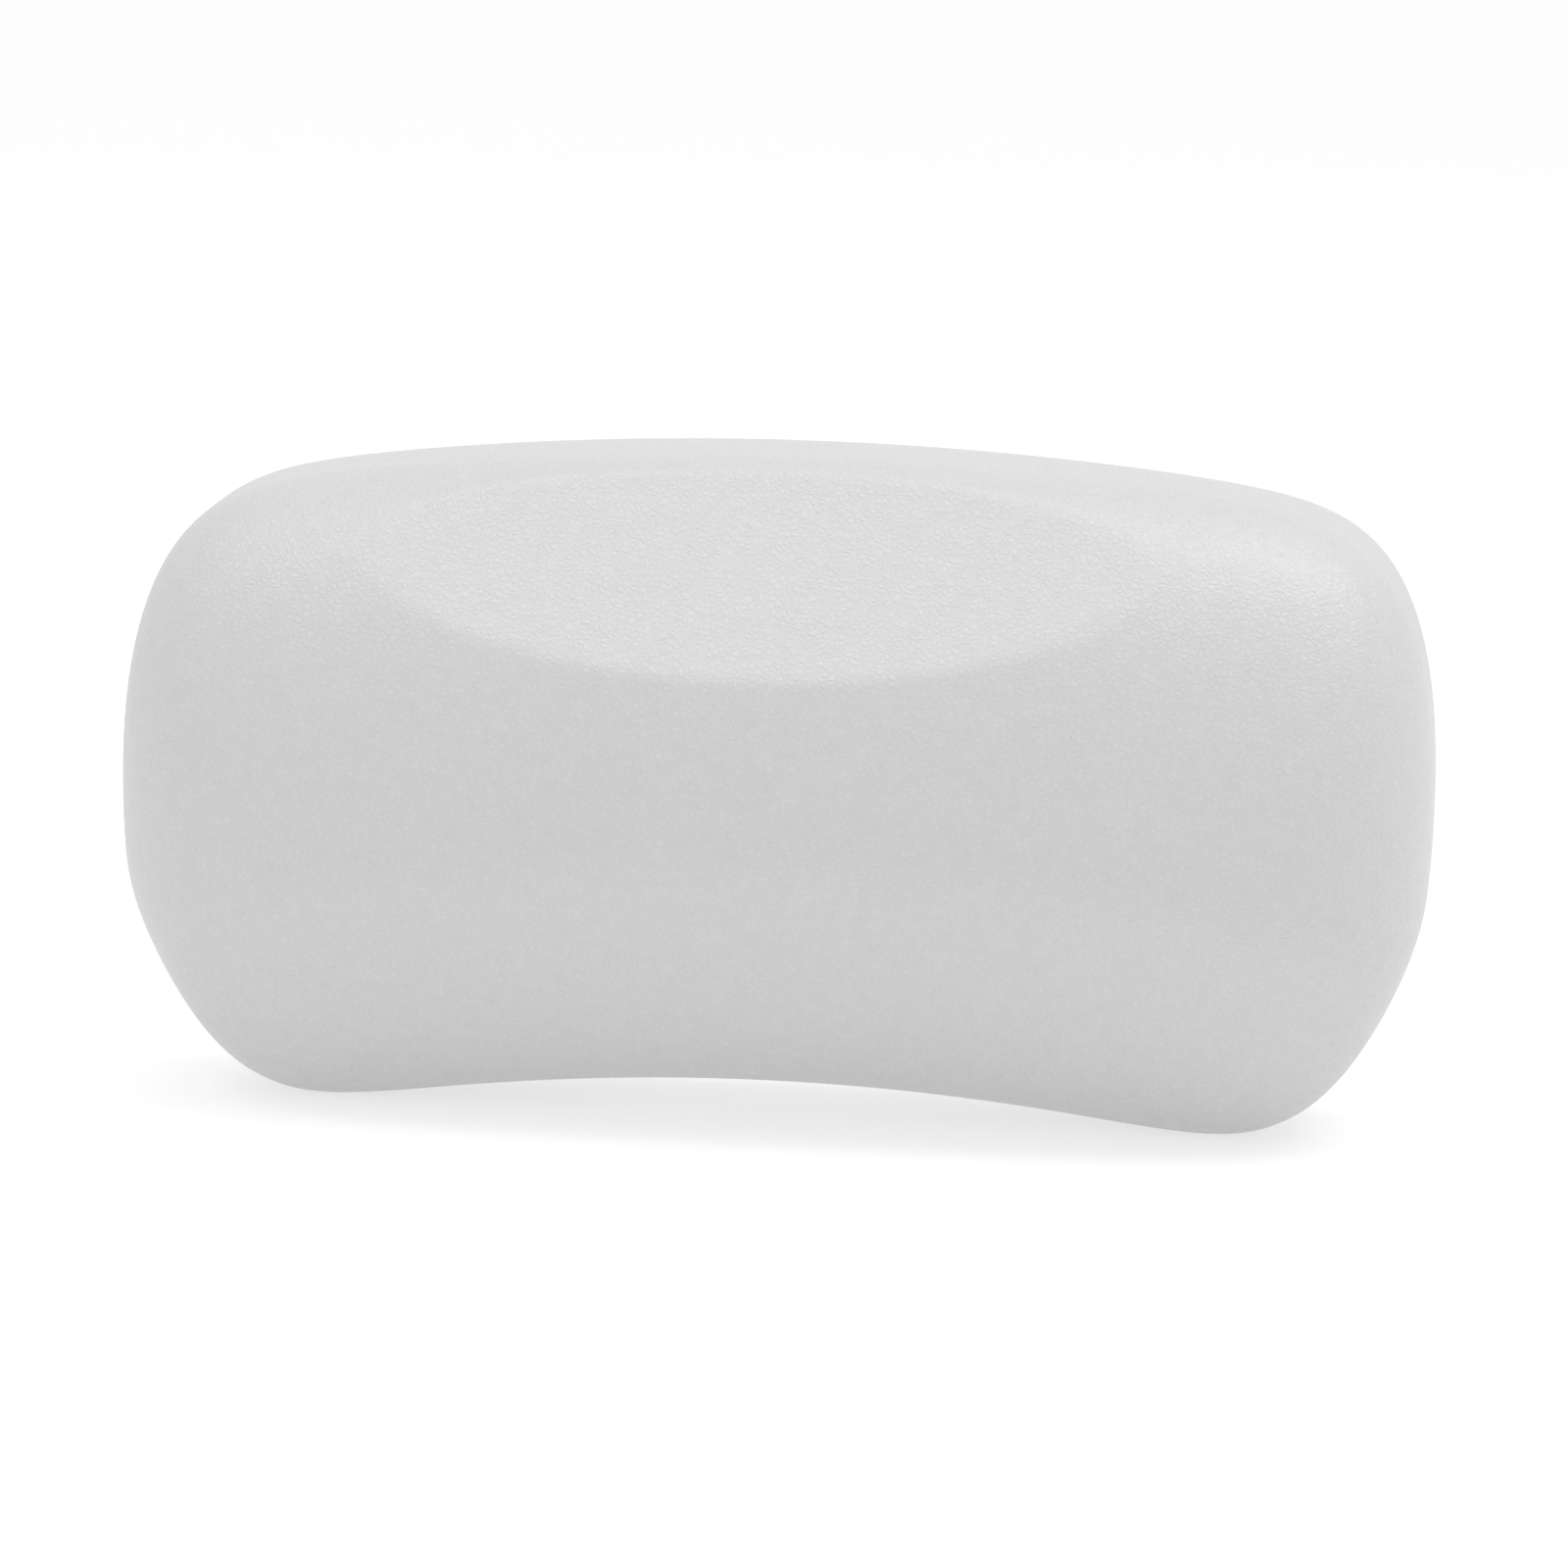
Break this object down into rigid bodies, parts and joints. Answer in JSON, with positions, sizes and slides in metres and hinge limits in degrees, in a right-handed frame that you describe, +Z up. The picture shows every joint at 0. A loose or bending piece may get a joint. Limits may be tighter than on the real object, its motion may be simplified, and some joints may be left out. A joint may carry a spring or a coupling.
{
  "type": "bath pillow",
  "caption": "Moulded bath pillow with a domed front, a shallow neck hollow, a flat back and suction cups that slide in keyholes.",
  "frame": {"origin": "midway between the two suction cups, on the plane that their rims touch (the bath wall)", "axes": "+Y into the bath wall, so the front faces -Y; +X along the pillow to the right as seen from the front; +Z up"},
  "size_m": [0.3004, 0.0957, 0.1529],
  "materials": {
    "grained_skin": "satin",
    "smooth_skin": "satin",
    "foam": "matte",
    "board": "matte",
    "cap": "matte",
    "steel": "satin",
    "stud": "gloss",
    "cup": "gloss"
  },
  "bodies": {
    "pillow": {"front_cover": "grained_skin", "back_cover": "smooth_skin", "foam_core": "foam", "carrier_board": "board", "pocket_cap_left": "cap", "pocket_cap_right": "cap", "cap_screw_left_1": "steel", "cap_screw_left_2": "steel", "cap_screw_left_3": "steel", "cap_screw_left_4": "steel", "cap_screw_right_1": "steel", "cap_screw_right_2": "steel", "cap_screw_right_3": "steel", "cap_screw_right_4": "steel"},
    "stud_left": {"stud_left": "stud"},
    "cup_left": {"suction_cup_left": "cup"},
    "stud_right": {"stud_right": "stud"},
    "cup_right": {"suction_cup_right": "cup"}
  },
  "joints": [
    {"name": "keyhole_slide_left", "type": "slide", "parent": "pillow", "child": "stud_left", "axis": [0, 0, -1], "range_m": [0, 0.02]},
    {"name": "cup_spin_left", "type": "hinge", "parent": "stud_left", "child": "cup_left", "pos_m": [-0.083, 0, 0], "axis": [0, 1, 0], "continuous": true},
    {"name": "keyhole_slide_right", "type": "slide", "parent": "pillow", "child": "stud_right", "axis": [0, 0, -1], "range_m": [0, 0.02]},
    {"name": "cup_spin_right", "type": "hinge", "parent": "stud_right", "child": "cup_right", "pos_m": [0.083, 0, 0], "axis": [0, 1, 0], "continuous": true}
  ]
}
